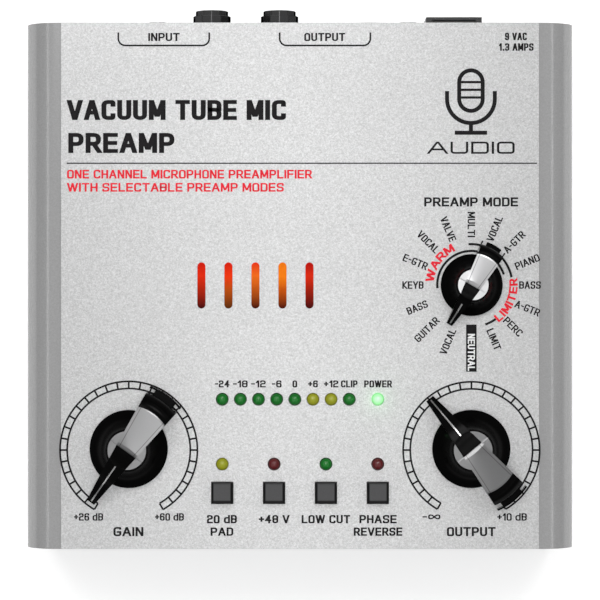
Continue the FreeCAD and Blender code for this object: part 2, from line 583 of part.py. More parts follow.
def make_knob(kind, shaft):
    """Pointer knob about its own axis, with its pointer along +Y and height 0 on the panel. A bar tapers
    evenly from the tail to the tip, over a bell-shaped skirt with a disc on top. The silver cap covers the
    disc and the tail's flat top, with a facet at either end, and a white line runs down the pointer."""
    names = ("skirt", "disc", "height", "tip", "tail", "hub_half", "taper", "cap_end", "tail_height", "dome",
             "lip", "slot_start", "slot_end", "slot_width", "neck_half", "bow", "recess", "line_start")
    size = {name: f"{kind}_{name}" for name in names}
    top = size["height"]
    disc_top = f"{top} - disc_drop"
    tip_height = f"({top} - {size['bow']} + ({size['bow']} ^ 2 - {size['tip']} ^ 2) ^ 0.5)"

    def half_width(along):
        return f"({size['hub_half']} - {size['taper']} * ({along}))"

    bell = revolved(f"{kind}_bell", [
        ("0", "knob_gap"), (size["skirt"], "knob_gap"), (size["skirt"], "knob_gap + 0.9"),
        (f"{size['skirt']} - 0.6", "knob_gap + 1.5"),
        (f"{size['disc']} + 0.25", f"{disc_top} - 1", f"-{size['skirt']}"),
        (size["disc"], disc_top), ("0", disc_top),
    ])
    plan = extruded(f"{kind}_plan", "XY", [
        (half_width(f"-{size['tail']}"), f"-{size['tail']} - 1"),
        (half_width(size["tip"]), size["tip"]), (f"-{half_width(size['tip'])}", size["tip"]),
        (f"-{half_width('-' + size['tail'])}", f"-{size['tail']} - 1"),
    ], 30)

    def make_bar(name, depth):
        """The tapered bar, its top lowered by depth: a bowed pointer ahead, a tail turned about the axis."""
        pointer = extruded(f"{name}_pointer", "YZ", [
            ("0", "knob_gap"), (size["tip"], "knob_gap"), (size["tip"], f"{tip_height} - {depth}"),
            ("0", f"{top} - {depth}", size["bow"]),
        ], 30)
        tail = revolved(f"{name}_tail", [
            ("0", "knob_gap"), (size["tail"], "knob_gap"), (size["tail"], size["lip"]),
            (size["slot_start"], size["lip"]), (size["slot_start"], f"{size['tail_height']} - {depth}"),
            (size["cap_end"], f"{top} - cap_dip - cap_rim_drop - {depth}", size["dome"]),
            (f"{size['cap_end']} - cap_rim_width", f"{top} - cap_dip - {depth}"), ("0", f"{top} - {depth}"),
        ])
        behind = shared(f"{name}_behind", tail, block(f"{name}_half", (40, 20, 40), ("0", "-10"), -10))
        return shared(name, plan, fused(f"{name}_halves", [pointer, behind]))

    bar = make_bar(f"{kind}_bar", "0")
    core = make_bar(f"{kind}_core", "cap_gauge")
    low_bar = make_bar(f"{kind}_low_bar", "line_gauge")

    # The silver cap: the skin of the tail's top up to the axis, where a facet slopes down to the pointer, and
    # the disc's two crescents beside the pointer.
    skin = carved(f"{kind}_skin", bar, [core])
    round_end = rod(f"{kind}_cap_round", size["cap_end"], 20, ("0", "0", 0))
    behind = block(f"{kind}_cap_half", (40, 20, 20), ("0", "cap_front - 10"), 0)
    reach = shared(f"{kind}_cap_reach", round_end, behind)
    facet = extruded(f"{kind}_facet", "YZ", [
        ("cap_front - facet_width", top), ("cap_front", f"{top} - facet_drop"),
        ("cap_front", f"{top} + 1"), ("cap_front - facet_width", f"{top} + 1"),
    ], 30)
    plate = rod(f"{kind}_plate", size["disc"], "cap_gauge - 0.1", ("0", "0", f"{disc_top} - cap_gauge + 0.1"))
    pointer_zone = shared(f"{kind}_pointer_zone", plan, block(f"{kind}_ahead", (30, 30, 30), ("0", 15.3), -5))
    crescents = carved(f"{kind}_crescents", plate, [pointer_zone])
    tail_skin = shared(f"{kind}_tail_skin", skin, reach)
    cap = carved(f"{kind}_cap", fused(f"{kind}_cap_blank", [tail_skin, crescents]), [facet])

    # The white line lies in a groove of the pointer.
    strip_length = f"{size['tip']} - {size['line_start']} - 0.4"
    strip = block(f"{kind}_strip", ("line_width", strip_length, 20),
                  ("0", f"{size['line_start']} + ({strip_length}) / 2"), 0)
    line = shared(f"{kind}_line", strip, carved(f"{kind}_line_skin", bar, [low_bar]))

    recess = rod(f"{kind}_recess_tool", size["recess"], "knob_recess_depth", ("0", "0", "knob_gap"))
    tools = [cap, line, shaft, recess, facet]
    ring = carved(f"{kind}_slot_ring", rod(f"{kind}_slot_rim", size["slot_end"], 20, ("0", "0", 0)),
                  [rod(f"{kind}_slot_hub", size["slot_start"], 20, ("0", "0", 0))])
    for side in (-1, 1):
        middle = f"{side} * ({size['neck_half']} + {size['slot_width']} / 2)"
        beside = block(f"{kind}_beside", (size["slot_width"], 20, 20), (middle, "-10"), 0)
        tools.append(shared(f"{kind}_slot", ring, beside))
    body = carved(f"{kind}_moulding", fused(f"{kind}_blank", [bell, bar]), tools)
    return body, cap, line


def make_knobs():
    parts = {}
    for kind in ("dial", "mode"):
        shaft = make_shaft(kind)
        parts[kind] = (shaft, *make_knob(kind, shaft))
    for name, (x, y) in knob_places().items():
        kind = "mode" if name == "mode" else "dial"
        for piece, suffix in zip(parts[kind], ("shaft", "knob_body", "knob_cap", "knob_line")):
            subpart(f"{name}_{suffix}", [piece], (x, y, FACE), f"{name}_angle")


# ---------------------------------------------------------------- rear connectors

def inward(name, radius, length, x, reach, dx=0, dz=0):
    """Rod that starts reach outside the rear wall and runs length into the case."""
    start = (f"{x} + {dx}", f"{REAR} + {reach} - ({length})", f"{SOCKET_Z} + {dz}")
    return rod(name, radius, length, start, "y")


def make_xlr():
    contact_turns = (45, 135, 270)
    screws, contacts = [], []
    for name, x in (("input", "input_xlr_x"), ("output", "output_xlr_x")):
        barrel = inward(f"{name}_barrel", "xlr_collar", "xlr_depth", x, "xlr_reach")
        flange = block(f"{name}_flange", ("xlr_flange_width", "xlr_flange_gauge", "xlr_flange_height"),
                       (x, f"{WALL_INSIDE} - xlr_flange_gauge / 2"), f"{SOCKET_Z} - xlr_flange_height / 2")
        tools, holes = [], []
        for side in (-1, 1):
            spot = (f"{side} * xlr_screw_dx", f"{side} * xlr_screw_dz")
            tools.append(inward("flange_hole", 1.55, 12, x, 1, *spot))
            shank = inward("xlr_shank", 1.5, "xlr_flange_gauge + sheet_gauge + 1", x, 0, *spot)
            head = inward("xlr_head", "xlr_screw_head", "xlr_screw_height", x, "xlr_screw_height", *spot)
            cross = []
            for size in ((3, 1.2, 0.7), (0.7, 1.2, 3)):
                middle = (f"{x} + {spot[0]}", f"{REAR} + xlr_screw_height")
                cross.append(block("xlr_cross", size, middle, f"{SOCKET_Z} + {spot[1]} - {size[2]} / 2"))
            screws.append(carved("xlr_screw", fused("xlr_screw_blank", [shank, head]), cross))
        for turn in contact_turns:
            dx = f"xlr_circle * {math.cos(math.radians(turn)):.4f}"
            dz = f"xlr_circle * {math.sin(math.radians(turn)):.4f}"
            if name == "input":
                holes.append(inward("contact_hole", 1.8, 30, x, "xlr_reach", dx, dz))
                sleeve = inward("contact_sleeve", 1.75, 12, x, "xlr_reach - 1.6", dx, dz)
                tail = inward("contact_tail", 0.7, 14, x, "xlr_reach - 1.6 - 11", dx, dz)
                socket = inward("contact_socket", 1.25, 10, x, "xlr_reach - 1.6", dx, dz)
                contacts.append(carved("contact", fused("contact_blank", [sleeve, tail]), [socket]))
            else:
                start = "xlr_reach - xlr_cavity + 1"
                tools.append(inward("pin_clearance", "xlr_pin + 0.05", 30, x, start, dx, dz))
                contacts.append(inward("xlr_pin_rod", "xlr_pin", 23, x, "xlr_reach - 2", dx, dz))
        if name == "input":
            tools.append(inward("ring_well", "xlr_ring", "xlr_cavity", x, "xlr_reach + 0.01"))
            tools.append(inward("insert_bore", "xlr_core", "xlr_depth + 1", x, "xlr_reach + 0.5"))
            insert = inward("insert_rod", "xlr_core", "xlr_depth - 1", x, "xlr_reach - 1")
            subpart("input_xlr_insert", [carved("insert_bored", insert, holes)])
            middle = (x, f"{REAR} + xlr_reach - 6")
            tools.append(block("latch_slot", (6.3, 14, 1.9), middle, f"{SOCKET_Z} + xlr_ring - 0.1"))
        else:
            tools.append(inward("cup", "xlr_cup", "xlr_cavity", x, "xlr_reach + 0.01"))
        blank = fused(f"{name}_xlr_blank", [barrel, flange])
        subpart(f"{name}_xlr_shell", [carved(f"{name}_xlr_bored", blank, tools)])
    subpart("xlr_contacts", contacts)
    subpart("xlr_screws", screws)
    middle = ("input_xlr_x", f"{REAR} + xlr_reach - 0.1 - latch_length / 2")
    tab = block("latch_tab", ("latch_width", "latch_length", "latch_gauge"), middle,
                f"{SOCKET_Z} + xlr_ring + 0.15")
    subpart("input_xlr_latch", [tab])


def make_jacks():
    nuts, springs = [], []
    for name in ("input", "output"):
        x = f"{name}_jack_x"
        case = block(f"{name}_jack_case", ("jack_body", "jack_depth", "jack_body"),
                     (x, f"{WALL_INSIDE} - jack_depth / 2"), f"{SOCKET_Z} - jack_body / 2")
        bushing_length = "jack_mouth + sheet_gauge + 1"
        bushing = inward(f"{name}_bushing_tube", "jack_bushing", bushing_length, x, "jack_mouth")
        bore = inward(f"{name}_bore", "jack_bore", "jack_bore_depth", x, "jack_mouth")
        pocket = block(f"{name}_spring_pocket", (2.4, 15, 3), (x, f"{REAR} - 13"), f"{SOCKET_Z} + 2")
        blank = fused(f"{name}_jack_blank", [case, bushing])
        subpart(f"{name}_jack_body", [carved(f"{name}_jack_bored", blank, [bore, pocket])])
        middle = (x, f"{REAR} - 13")
        springs.append(block("contact_spring", (2, 14.6, 0.4), middle, f"{SOCKET_Z} + jack_bore + 0.1"))

        seat = (x, REAR, SOCKET_Z)
        flange = prism("jack_nut_flange_blank", "jack_nut_flange", "jack_nut_step", seat, 12, "y")
        crown = prism("jack_nut_crown_blank", "jack_nut_crown", "rear_reach", seat, 12, "y")
        hole = inward("jack_nut_hole", "jack_nut_bore", 8, x, 6)
        nuts.append(carved("jack_nut", fused("jack_nut_blank", [flange, crown]), [hole]))
    subpart("jack_nuts", nuts)
    subpart("jack_contact_springs", springs)


def make_power():
    """Rocker switch, resting in its on position, and the round low-voltage inlet."""
    cavity_height = "(rocker_height + 0.3)"
    bezel = block("bezel", ("bezel_width", "bezel_reach", "bezel_height"),
                  ("power_x", f"{REAR} + bezel_reach / 2"), f"{SOCKET_Z} - bezel_height / 2")
    body_size = ("bezel_width - 0.9", 15, "bezel_height - 1.1")
    body = block("switch_body", body_size, ("power_x", f"{REAR} - 7.5"), f"{SOCKET_Z} - ({body_size[2]}) / 2")
    cavity = block("switch_cavity", ("rocker_length + 1.2", "bezel_reach + 8", cavity_height),
                   ("power_x", f"{REAR} + (bezel_reach - 8) / 2 + 0.01"), f"{SOCKET_Z} - {cavity_height} / 2")
    snap_base = f"{SOCKET_Z} + bezel_height / 2 - 0.8"
    snap = block("snap_notch", (10.8, 2.2, 0.8), ("power_x", f"{REAR} + 1.1"), snap_base)
    pivot = ("power_x", f"{REAR} - 1")
    bearing = rod("rocker_bearing", "rocker_pin + running_gap", 9.1, (*pivot, f"{SOCKET_Z} - 4.55"))
    blank = fused("switch_blank", [bezel, body])
    subpart("power_switch_housing", [carved("switch_housing", blank, [cavity, snap, bearing])])

    half = "rocker_length / 2"
    rocker = extruded("rocker_wedge", "XY", [
        (f"-({half})", 3.1), (f"-({half})", 0.2), (-2, -2.5), (2, -2.5), (half, 0.2), (half, 3.1), ("0", 2.3),
    ], "rocker_height")
    stub = rod("rocker_stub", "rocker_pin", 9, ("0", "0", -4.5))
    subpart("power_rocker", [fused("rocker_whole", [rocker, stub])], (*pivot, SOCKET_Z), "rocker_tilt")

    case = block("inlet_case", (9, 13, 11), ("inlet_x", f"{WALL_INSIDE} - 6.5"), f"{SOCKET_Z} - 5.5")
    nose = inward("inlet_nose", "inlet_bore + 0.9", "sheet_gauge + 2", "inlet_x", 0.2)
    bore = inward("inlet_well", "inlet_bore", "inlet_depth", "inlet_x", 0.2)
    seat = inward("inlet_seat", "inlet_pin", 20, "inlet_x", 0)
    subpart("power_inlet_body", [carved("inlet_bored", fused("inlet_blank", [case, nose]), [bore, seat])])
    subpart("power_inlet_pin", [inward("inlet_rod", "inlet_pin", "sheet_gauge + 15", "inlet_x", -0.8)])


# ---------------------------------------------------------------- build, check and write

def check(thing):
    if any(flag in thing.State for flag in ("Invalid", "Error")):
        raise RuntimeError(f"{thing.Label}: {thing.State}")


def main():
    make_case()
    make_boards()
    make_tube()
    make_lamps()
    make_rotary_parts()
    make_buttons()
    make_knobs()
    make_xlr()
    make_jacks()
    make_power()
    doc.recompute()
    for thing in doc.Objects:
        check(thing)
    os.makedirs("parts", exist_ok=True)
    for thing in subparts:
        shape = thing.Shape
        if shape.isNull() or not shape.isValid() or not shape.Solids:
            raise RuntimeError(f"{thing.Label}: no valid solid")
        shape.exportStep(f"parts/{thing.Label}.step")
        print(f"{thing.Label}: {len(shape.Solids)} solid(s), {shape.Volume:.1f} mm3")
    print(len(subparts), "sub-parts")


main()
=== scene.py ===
"""Desktop tube microphone preamplifier: finishes, printing, lamps, light and camera.

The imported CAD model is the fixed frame. Bare lengths are millimetres and are turned into metres with MM, but
the floor, the lights and the camera are placed in metres. Points on the panel are (x, y) from the middle of
the case, with x to the right and y to the rear. Bearings are degrees clockwise from the rear.
"""
import json
import math
import bmesh
import bpy
from mathutils import Matrix, Vector


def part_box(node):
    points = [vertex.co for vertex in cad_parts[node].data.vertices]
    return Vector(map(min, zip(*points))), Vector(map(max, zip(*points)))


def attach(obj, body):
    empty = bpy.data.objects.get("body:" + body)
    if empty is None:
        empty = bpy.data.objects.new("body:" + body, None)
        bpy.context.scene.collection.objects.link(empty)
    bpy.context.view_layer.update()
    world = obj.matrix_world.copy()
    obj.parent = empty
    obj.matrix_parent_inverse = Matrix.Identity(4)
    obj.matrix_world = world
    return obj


MM = 0.001

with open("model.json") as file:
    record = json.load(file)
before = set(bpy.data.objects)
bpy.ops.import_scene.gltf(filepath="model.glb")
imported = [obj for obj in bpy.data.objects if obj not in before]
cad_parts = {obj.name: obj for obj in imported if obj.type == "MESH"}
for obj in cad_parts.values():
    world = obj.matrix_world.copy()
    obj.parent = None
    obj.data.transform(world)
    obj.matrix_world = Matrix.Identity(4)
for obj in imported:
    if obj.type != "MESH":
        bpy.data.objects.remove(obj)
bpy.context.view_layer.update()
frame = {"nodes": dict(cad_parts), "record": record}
nodes = frame["nodes"]
# Middle of the control panel, and the height of its face, in metres.
panel_low, panel_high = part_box("control_overlay")
MIDDLE = (panel_low + panel_high) / 2
FACE = panel_high.z


def on_panel(x, y, rise=0.0):
    """Point of the common frame, rise above the panel's face."""
    return Vector((MIDDLE.x + x * MM, MIDDLE.y + y * MM, FACE + rise * MM))


def panel_spot(node):
    """Middle of a CAD node as (x, y) on the panel."""
    low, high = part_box(node)
    middle = (low + high) / 2 - MIDDLE
    return middle.x / MM, middle.y / MM


# ---------------------------------------------------------------- materials

class Tree:
    """Node tree of one material, with its Principled shader as .shader and the object's own
    coordinates as .place."""

    def __init__(self, name):
        self.material = bpy.data.materials.new(name)
        self.material.use_nodes = True
        self.nodes = self.material.node_tree.nodes
        self.links = self.material.node_tree.links
        self.shader = self.nodes["Principled BSDF"]
        self.place = self.add("ShaderNodeTexCoord").outputs["Object"]

    def add(self, kind, inputs=None, **settings):
        """New node. Inputs are values or sockets by name or number, and settings are its properties."""
        node = self.nodes.new(kind)
        for name, setting in settings.items():
            setattr(node, name, setting)
        for name, source in (inputs or {}).items():
            self.join(source, node.inputs[name])
        return node

    def join(self, source, socket):
        """Link the source to the socket, or set the socket to it when it's a plain value."""
        if isinstance(source, bpy.types.NodeSocket):
            self.links.new(source, socket)
        else:
            socket.default_value = source

    def axes(self):
        """X, Y and Z of the object's own coordinates, as the outputs of one node."""
        return self.add("ShaderNodeSeparateXYZ", {"Vector": self.place}).outputs

    def compute(self, operation, *sources):
        """Result of one operation on numbers."""
        return self.add("ShaderNodeMath", dict(enumerate(sources)), operation=operation).outputs[0]

    def compute_vector(self, operation, first, second, output="Vector"):
        """Result of one operation on two vectors."""
        return self.add("ShaderNodeVectorMath", {0: first, 1: second}, operation=operation).outputs[output]

    def noise(self, size, detail=2.0):
        """Noise whose features are about size across."""
        settings = {"Vector": self.place, "Scale": 1 / (size * MM), "Detail": detail, "Roughness": 0.5}
        return self.add("ShaderNodeTexNoise", settings).outputs["Fac"]

    def span(self, source, low, high, start=0.3, end=0.7):
        """The source, stretched so that start becomes low and end becomes high. Noise stays mostly within
        the usual start and end."""
        settings = {"Value": source, "From Min": start, "From Max": end, "To Min": low, "To Max": high}
        return self.add("ShaderNodeMapRange", settings).outputs["Result"]

    def blend(self, factor, first, second, mode="MIX"):
        """Blend of two colours. Sockets of a Mix node share their names, so these go by number."""
        node = self.add("ShaderNodeMix", data_type="RGBA", blend_type=mode)
        for index, source in ((0, factor), (6, first), (7, second)):
            self.join(source, node.inputs[index])
        return node.outputs[2]

    def bump(self, height, depth):
        """Relief of the given depth."""
        node = self.add("ShaderNodeBump", {"Height": height, "Distance": depth * MM, "Strength": 1.0})
        self.links.new(node.outputs[0], self.shader.inputs["Normal"])

    def set(self, **inputs):
        """Set inputs of the shader, named with _ for each space."""
        for name, source in inputs.items():
            self.join(source, self.shader.inputs[name.replace("_", " ")])


WHITE = (1, 1, 1)


def opaque(colour):
    """The colour with full alpha."""
    return (*colour, 1)


def shade(colour, factor):
    """The colour made lighter or darker by a factor, as an opaque colour."""
    return tuple(min(1.0, channel * factor) for channel in colour) + (1.0,)


def grained(name, colour, roughness, metallic=0.0, grain=0.3, contrast=0.1, relief=0.01, **more):
    """General finish: fine grain in colour and relief, and a slow change of colour and gloss over the
    surface. Grain is its size, relief its depth, contrast a share of the colour, and more holds other shader
    inputs."""
    drift_size, colour_drift, gloss_drift = 14, 0.03, 0.08
    tree = Tree(name)
    fine = tree.noise(grain)
    slow = tree.noise(drift_size, detail=3)
    speckled = tree.blend(tree.span(fine, 0, 1), shade(colour, 1 - contrast), shade(colour, 1 + contrast))
    drifting = tree.blend(tree.span(slow, 0, 1), shade(WHITE, 1 - colour_drift), opaque(WHITE))
    tree.set(Base_Color=tree.blend(1.0, speckled, drifting, mode="MULTIPLY"), Metallic=metallic,
             Roughness=tree.span(slow, roughness * (1 - gloss_drift), roughness * (1 + gloss_drift)), **more)
    if relief:
        tree.bump(fine, relief)
    return tree.material


def flake_paint(name, colour, roughness, metallic, contrast, **more):
    """Silver paint: a mosaic of fine metal flakes, each a little lighter or darker, with fine orange peel."""
    flake_size, cloud_size, gloss_size, peel_size, peel_depth = 0.22, 0.55, 40, 0.35, 0.012
    gloss_drift = 0.03
    tree = Tree(name)
    cells = tree.add("ShaderNodeTexVoronoi", {"Vector": tree.place, "Scale": 1 / (flake_size * MM)})
    tone = tree.add("ShaderNodeSeparateColor", {"Color": cells.outputs["Color"]}).outputs[0]
    cloud = tree.noise(cloud_size, detail=3)
    slow = tree.noise(gloss_size)
    flakes = tree.blend(tone, shade(colour, 1 - contrast), shade(colour, 1 + contrast))
    clouded = tree.blend(tree.span(cloud, 0, 1), shade(WHITE, 1 - contrast), opaque(WHITE))
    tree.set(Base_Color=tree.blend(1.0, flakes, clouded, mode="MULTIPLY"), Metallic=metallic,
             Roughness=tree.span(slow, roughness * (1 - gloss_drift), roughness * (1 + gloss_drift)), **more)
    tree.bump(tree.noise(peel_size), peel_depth)
    return tree.material


def glowing_lens(name, colour, core, glow):
    """Tinted lamp resin with its own light, and painted shade: deeper colour low on the dome, a lighter top.
    """
    dome_height, rim_shade_depth, swirl_size = 1.0, 0.6, 0.7
    tree = Tree(name)
    rim_shade = tree.span(tree.axes()["Z"], rim_shade_depth, 0.0, FACE, FACE + dome_height * MM)
    swirl = tree.noise(swirl_size, detail=1)
    # Painted shade: the dome's colour deepens towards its rim and lightens at the top.
    resin_with_rim_shade = tree.blend(rim_shade, opaque(core), opaque(colour))
    tinted = tree.blend(tree.span(swirl, 0.0, 0.25), resin_with_rim_shade, shade(colour, 0.8))
    tree.set(Base_Color=tinted, Roughness=0.1, Specular_IOR_Level=0.55)
    tree.set(Emission_Color=tinted, Emission_Strength=glow)
    return tree.material


def button_cap(node):
    """Grey key with painted shade on its bevelled sides: a black frame round its square face, which sits a
    little to the rear, where the bevel catches the light.
    """
    face, lit_rear_shift, edge_in, edge_out, grain_size = 4.15, 0.36 * MM, 0.05, 0.1, 0.12
    key_dark, key_light, bevel_shade_black = (0.066, 0.066, 0.068), (0.082, 0.082, 0.084), (0.004, 0.004, 0.004)
    low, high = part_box(node)
    tree = Tree(f"button_grey_{node}")
    place = tree.axes()
    reaches = []
    for axis, middle in (("X", (low.x + high.x) / 2), ("Y", (low.y + high.y) / 2 + lit_rear_shift)):
        offset = tree.compute("SUBTRACT", place[axis], middle)
        reaches.append(tree.compute("ABSOLUTE", offset))
    reach = tree.compute("MAXIMUM", *reaches)
    # Painted shade: black over the bevelled sides, thinner at the rear, where they are lit.
    bevel_shade = tree.span(reach, 0, 1, (face / 2 - edge_in) * MM, (face / 2 + edge_out) * MM)
    grain = tree.noise(grain_size)
    grey = tree.blend(tree.span(grain, 0, 1), opaque(key_dark), opaque(key_light))
    tree.set(Base_Color=tree.blend(bevel_shade, grey, opaque(bevel_shade_black)), Roughness=0.5, Specular_IOR_Level=0.25)
    tree.bump(grain, 0.006)
    return tree.material


def painted_window_glow():
    """Translucent bars with the tube's light painted into them as their own glow: dark at the front, bright at
    the rear, each bar with its own tint. Tints are given at four places from front to rear, for each bar from
    left to right."""
    pitch, margin, haze_size, dimming = 6.67, 2 * MM, 1.2, 0.2
    places = (0.0, 0.4, 0.7, 1.0)
    glow_tints = (
        ((0.035, 0.002, 0.002), (0.42, 0.016, 0.002), (0.74, 0.024, 0.003), (0.62, 0.010, 0.002)),
        ((0.075, 0.022, 0.002), (0.46, 0.070, 0.003), (0.84, 0.038, 0.003), (0.68, 0.012, 0.002)),
        ((0.032, 0.002, 0.002), (0.50, 0.085, 0.005), (0.86, 0.150, 0.010), (0.82, 0.030, 0.008)),
        ((0.045, 0.002, 0.002), (0.55, 0.085, 0.003), (0.92, 0.210, 0.005), (0.90, 0.190, 0.006)),
        ((0.040, 0.002, 0.002), (0.34, 0.012, 0.002), (0.70, 0.022, 0.003), (0.44, 0.004, 0.002)),
    )
    low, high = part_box("glow_windows")
    tree = Tree("window_red")
    place = tree.axes()
    along = tree.span(place["Y"], 0.0, 1.0, low.y + margin, high.y - margin)
    middle = (low.x + high.x) / 2
    colour = None
    for order, stops in enumerate(glow_tints):
        ramp = tree.add("ShaderNodeValToRGB", {"Fac": along})
        while len(ramp.color_ramp.elements) < len(stops):
            ramp.color_ramp.elements.new(0.5)
        for element, position, tint in zip(ramp.color_ramp.elements, places, stops):
            element.position = position
            element.color = opaque(tint)
        if colour is None:
            colour = ramp.outputs[0]
            continue
        edge = middle + (order - len(glow_tints) / 2) * pitch * MM
        past = tree.compute("GREATER_THAN", place["X"], edge)
        colour = tree.blend(past, colour, ramp.outputs[0])
    haze = tree.blend(tree.span(tree.noise(haze_size), 0, 1), shade(WHITE, 0.92), opaque(WHITE))
    tinted = tree.blend(1.0, colour, haze, mode="MULTIPLY")
    body = tree.blend(1.0, tinted, shade(WHITE, dimming), mode="MULTIPLY")
    # Painted light: the bars glow with the tube's light, which is not a lamp here.
    tree.set(Base_Color=body, Emission_Color=tinted, Emission_Strength=0.85, Roughness=0.5,
             Specular_IOR_Level=0.05)
    return tree.material


def glass():
    """Thin glass of the tube, with a faint uneven film on it."""
    film_size = 3
    tree = Tree("tube_glass")
    film = tree.span(tree.noise(film_size), 0.02, 0.07)
    tree.set(Base_Color=(0.93, 0.96, 0.95, 1), Roughness=film, Transmission_Weight=1.0, IOR=1.47)
    return tree.material


# Finish of each material slot, but for knob_silver and button_grey, whose pieces each get their own.
FINISHES = {
    "cover_paint": flake_paint("cover_paint", (0.395, 0.395, 0.396), 0.19, 0.2, 0.05, Specular_IOR_Level=0.4,
                               Specular_Tint=(0.35, 0.35, 0.35, 1)),
    "panel_paint": flake_paint("panel_paint", (0.545, 0.546, 0.548), 0.29, 0.35, 0.17),
    "chassis_paint": flake_paint("chassis_paint", (0.36, 0.365, 0.37), 0.42, 0.5, 0.07),
    "knob_black": grained("knob_black", (0.002, 0.002, 0.002), 0.18, grain=0.25, contrast=0.2, relief=0.001,
                          Specular_IOR_Level=0.03),
    "pointer_white": grained("pointer_white", (0.40, 0.40, 0.40), 0.25, metallic=0.9, grain=0.4,
                             contrast=0.03, relief=0.002),
    "rubber_black": grained("rubber_black", (0.018, 0.018, 0.019), 0.8, grain=0.35, contrast=0.3,
                            relief=0.02),
    "board_green": grained("board_green", (0.01, 0.10, 0.035), 0.35, grain=1.5, contrast=0.2, relief=0.01),
    "steel": grained("steel", (0.55, 0.55, 0.56), 0.28, metallic=1.0, grain=0.2, contrast=0.08, relief=0.004),
    "black_steel": grained("black_steel", (0.016, 0.016, 0.017), 0.33, metallic=0.2, grain=0.2, contrast=0.25,
                           relief=0.004),
    "part_black": grained("part_black", (0.014, 0.014, 0.015), 0.36, grain=0.2, contrast=0.25, relief=0.004),
    "lamp_green": glowing_lens("lamp_green", (0.0006, 0.058, 0.005), (0.0015, 0.145, 0.010), 0.3),
    "lamp_yellow": glowing_lens("lamp_yellow", (0.16, 0.155, 0.004), (0.28, 0.30, 0.010), 0.3),
    "lamp_red": glowing_lens("lamp_red", (0.045, 0.004, 0.005), (0.11, 0.010, 0.012), 0.2),
    "lamp_power": glowing_lens("lamp_power", (0.26, 0.72, 0.28), (0.38, 0.82, 0.40), 0.5),
    "window_red": painted_window_glow(),
    "ceramic_white": grained("ceramic_white", (0.75, 0.73, 0.68), 0.5, grain=0.4, contrast=0.05,
                             relief=0.006),
    "anode_grey": grained("anode_grey", (0.16, 0.16, 0.165), 0.55, metallic=0.6, grain=0.3, contrast=0.15),
    "gold": grained("gold", (0.78, 0.56, 0.22), 0.22, metallic=1.0, grain=0.3, contrast=0.06, relief=0.002),
    "aluminium": grained("aluminium", (0.66, 0.66, 0.67), 0.35, metallic=1.0, grain=0.3, contrast=0.08,
                         relief=0.004),
    "ribbon_grey": grained("ribbon_grey", (0.36, 0.36, 0.38), 0.55, grain=1.27, contrast=0.12, relief=0.03),
    "print_black": grained("print_black", (0.010, 0.009, 0.010), 0.55, grain=0.3, contrast=0.25, relief=0.0,
                           Specular_IOR_Level=0.12),
    "print_red": grained("print_red", (0.86, 0.022, 0.040), 0.55, grain=0.3, contrast=0.08, relief=0.0,
                         Specular_IOR_Level=0.12),
    "print_white": grained("print_white", (0.86, 0.86, 0.86), 0.45, grain=0.3, contrast=0.04, relief=0.0),
    "tube_glass": glass(),
}

# How light the silver of each cap is: lit and shaded copies of one silver, painted light. Each tone is set as
# the light catches each knob differently.
CAP_LIGHT_TONES = {"gain_knob_cap": 0.19, "output_knob_cap": 0.17, "mode_knob_cap": 0.57}

# For each cap: the bearing its tail points to, how far off the axis its lines of painted groove shade start,
# and how much they spread for each millimetre further out.
CAP_SIDES = {"gain_knob_cap": (35.6, 2.1, 0.115), "output_knob_cap": (140.4, 2.1, 0.115),
             "mode_knob_cap": (29.8, 1.45, 0.12)}


def knob_cap(node):
    """Silver paint in a tone of painted light for each knob, with painted shade of a fine groove along each
    side of the bar.
    """
    groove_core, groove_edge, groove_shade_tone, grain_size = 0.05, 0.13, 0.45, 0.12
    # Painted light: this cap's silver is made lighter or darker as the light falls on it.
    tone = CAP_LIGHT_TONES[node]
    bearing, start, spread = CAP_SIDES[node]
    turned = math.radians(bearing)
    joint = node.replace("_knob_cap", "_turn")
    axis = next(entry["pos_m"] for entry in frame["record"]["behaviour"]["joints"] if entry["name"] == joint)
    tree = Tree(f"knob_silver_{node}")
    offset = tree.compute_vector("SUBTRACT", tree.place, tuple(axis))
    outward = (math.sin(turned), math.cos(turned), 0)
    sideways = (math.cos(turned), -math.sin(turned), 0)
    along = tree.compute_vector("DOT_PRODUCT", offset, outward, output="Value")
    side = tree.compute_vector("DOT_PRODUCT", offset, sideways, output="Value")
    across = tree.compute("ABSOLUTE", side)
    reach = tree.compute("MULTIPLY_ADD", along, -spread, across)
    from_line = tree.compute("SUBTRACT", reach, start * MM)
    distance = tree.compute("ABSOLUTE", from_line)
    # Painted shade of a fine groove along each side of the bar.
    groove_shade = tree.span(distance, 1, 0, groove_core * MM, groove_edge * MM)
    grain = tree.noise(grain_size)
    cool = (tone, tone, tone * 1.01)
    silver = tree.blend(tree.span(grain, 0, 1), shade(cool, 0.975), shade(cool, 1.025))
    line = shade((tone, tone, tone), groove_shade_tone)
    tree.set(Base_Color=tree.blend(groove_shade, silver, line), Metallic=0.6, Roughness=0.24)
    tree.bump(grain, 0.002)
    return tree.material


def finish_of(node, slot):
    """Finish of one CAD node: its slot's, or its own where pieces of one slot differ."""
    if slot == "knob_silver":
        return knob_cap(node)
    if slot == "button_grey":
        return button_cap(node)
    if node == "jack_nuts":
        return grained("nut_black", (0.075, 0.075, 0.076), 0.2, metallic=1.0, grain=0.2, contrast=0.2,
                       relief=0.002, Specular_Tint=(0.1, 0.1, 0.1, 1))
    return FINISHES[slot]


# ---------------------------------------------------------------- CAD pieces

